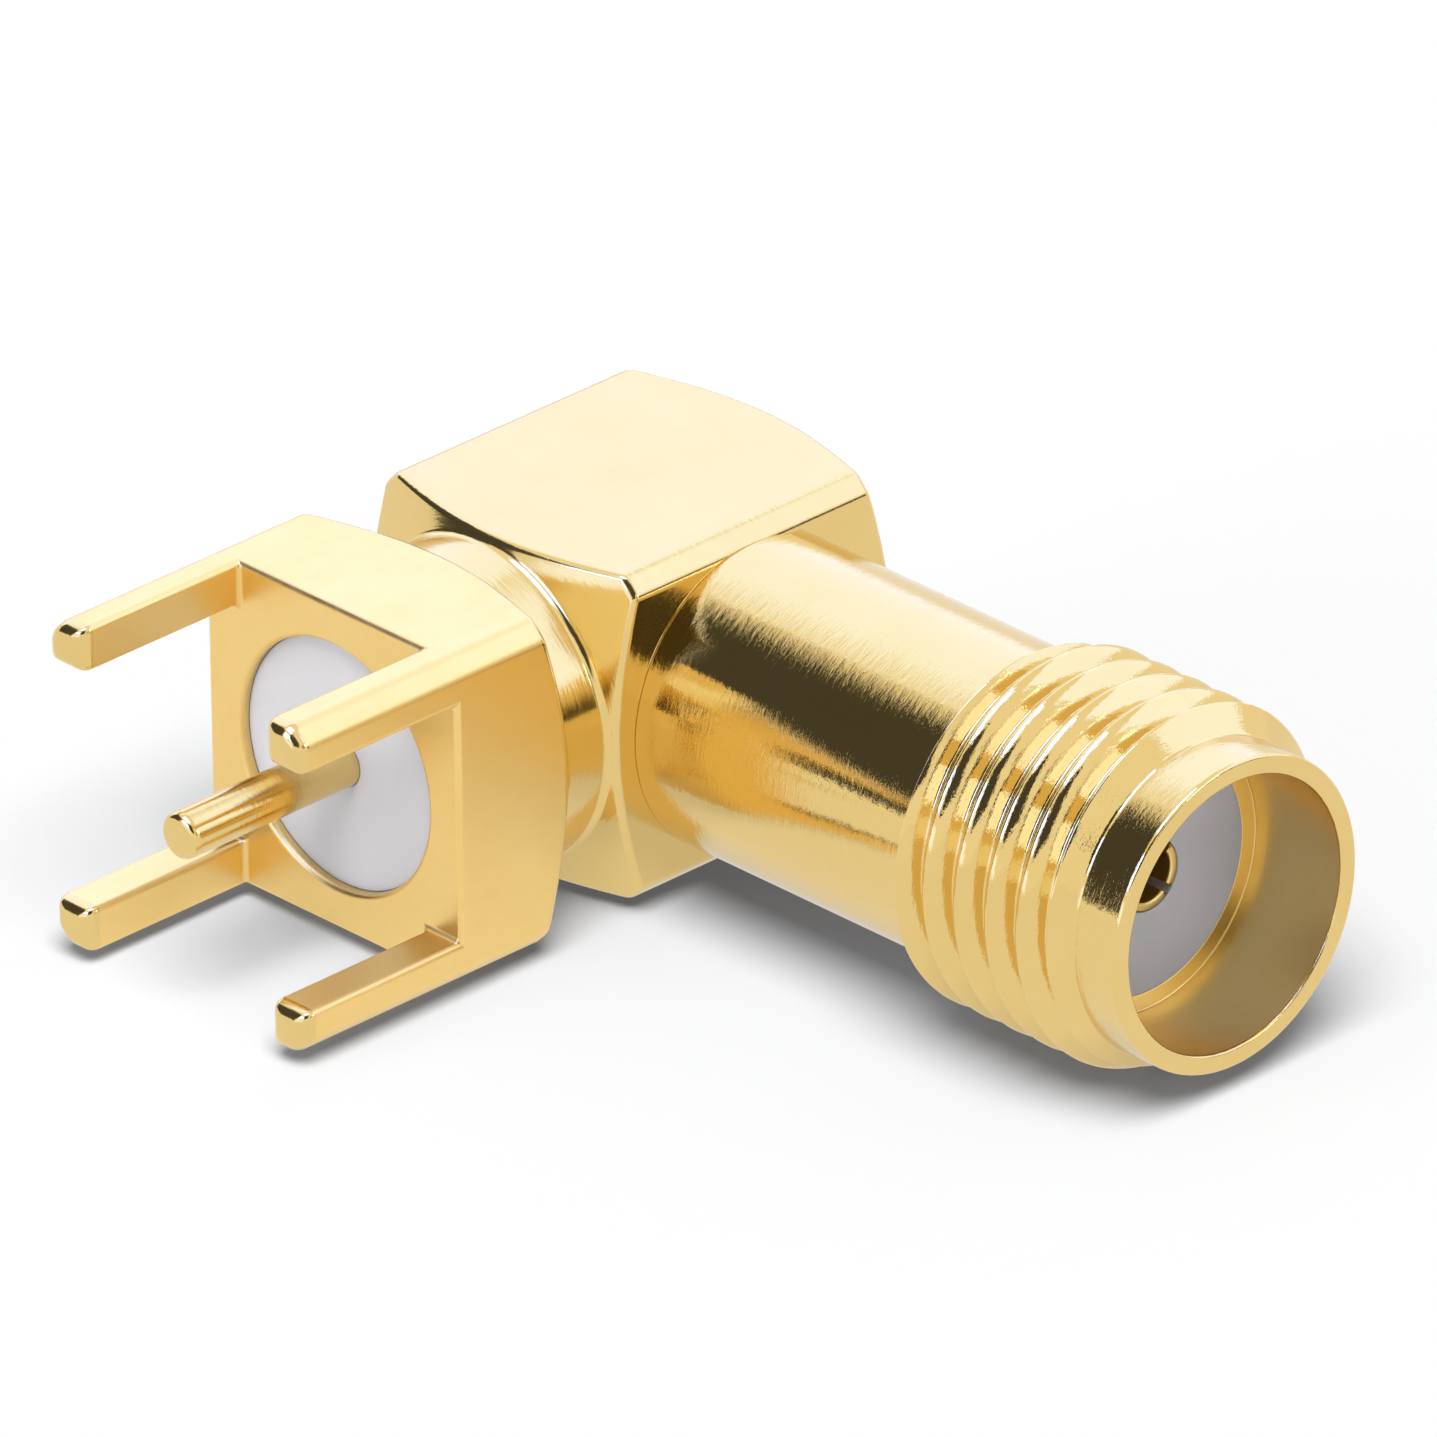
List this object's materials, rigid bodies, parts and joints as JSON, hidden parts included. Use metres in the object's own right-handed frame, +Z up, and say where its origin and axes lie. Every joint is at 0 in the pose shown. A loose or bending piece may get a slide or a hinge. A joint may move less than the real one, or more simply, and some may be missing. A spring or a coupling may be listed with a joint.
{
  "type": "SMA jack, right angle, board mount",
  "caption": "Right-angle coaxial jack for a circuit board: threaded barrel, square gold-plated body, board legs and a tail pin.",
  "frame": {"origin": "on the tail pin's axis, in the plane of the seat that meets the circuit board", "axes": "+X along the jack, out of its mouth; -Y along the board legs and the tail pin, away from the body; +Z up as it lies on its side"},
  "size_m": [0.0168, 0.0133, 0.0064],
  "materials": {
    "gold_plating": "polished gold plating on turned and milled brass, with fine turning marks",
    "insulator_white": "satin off-white fluoropolymer"
  },
  "bodies": {
    "root": {"elbow_body": "gold_plating", "jack_shell": "gold_plating", "front_insulator": "insulator_white", "tail_insulator": "insulator_white", "socket_contact": "gold_plating", "tail_pin": "gold_plating", "access_cap": "gold_plating"}
  },
  "joints": []
}
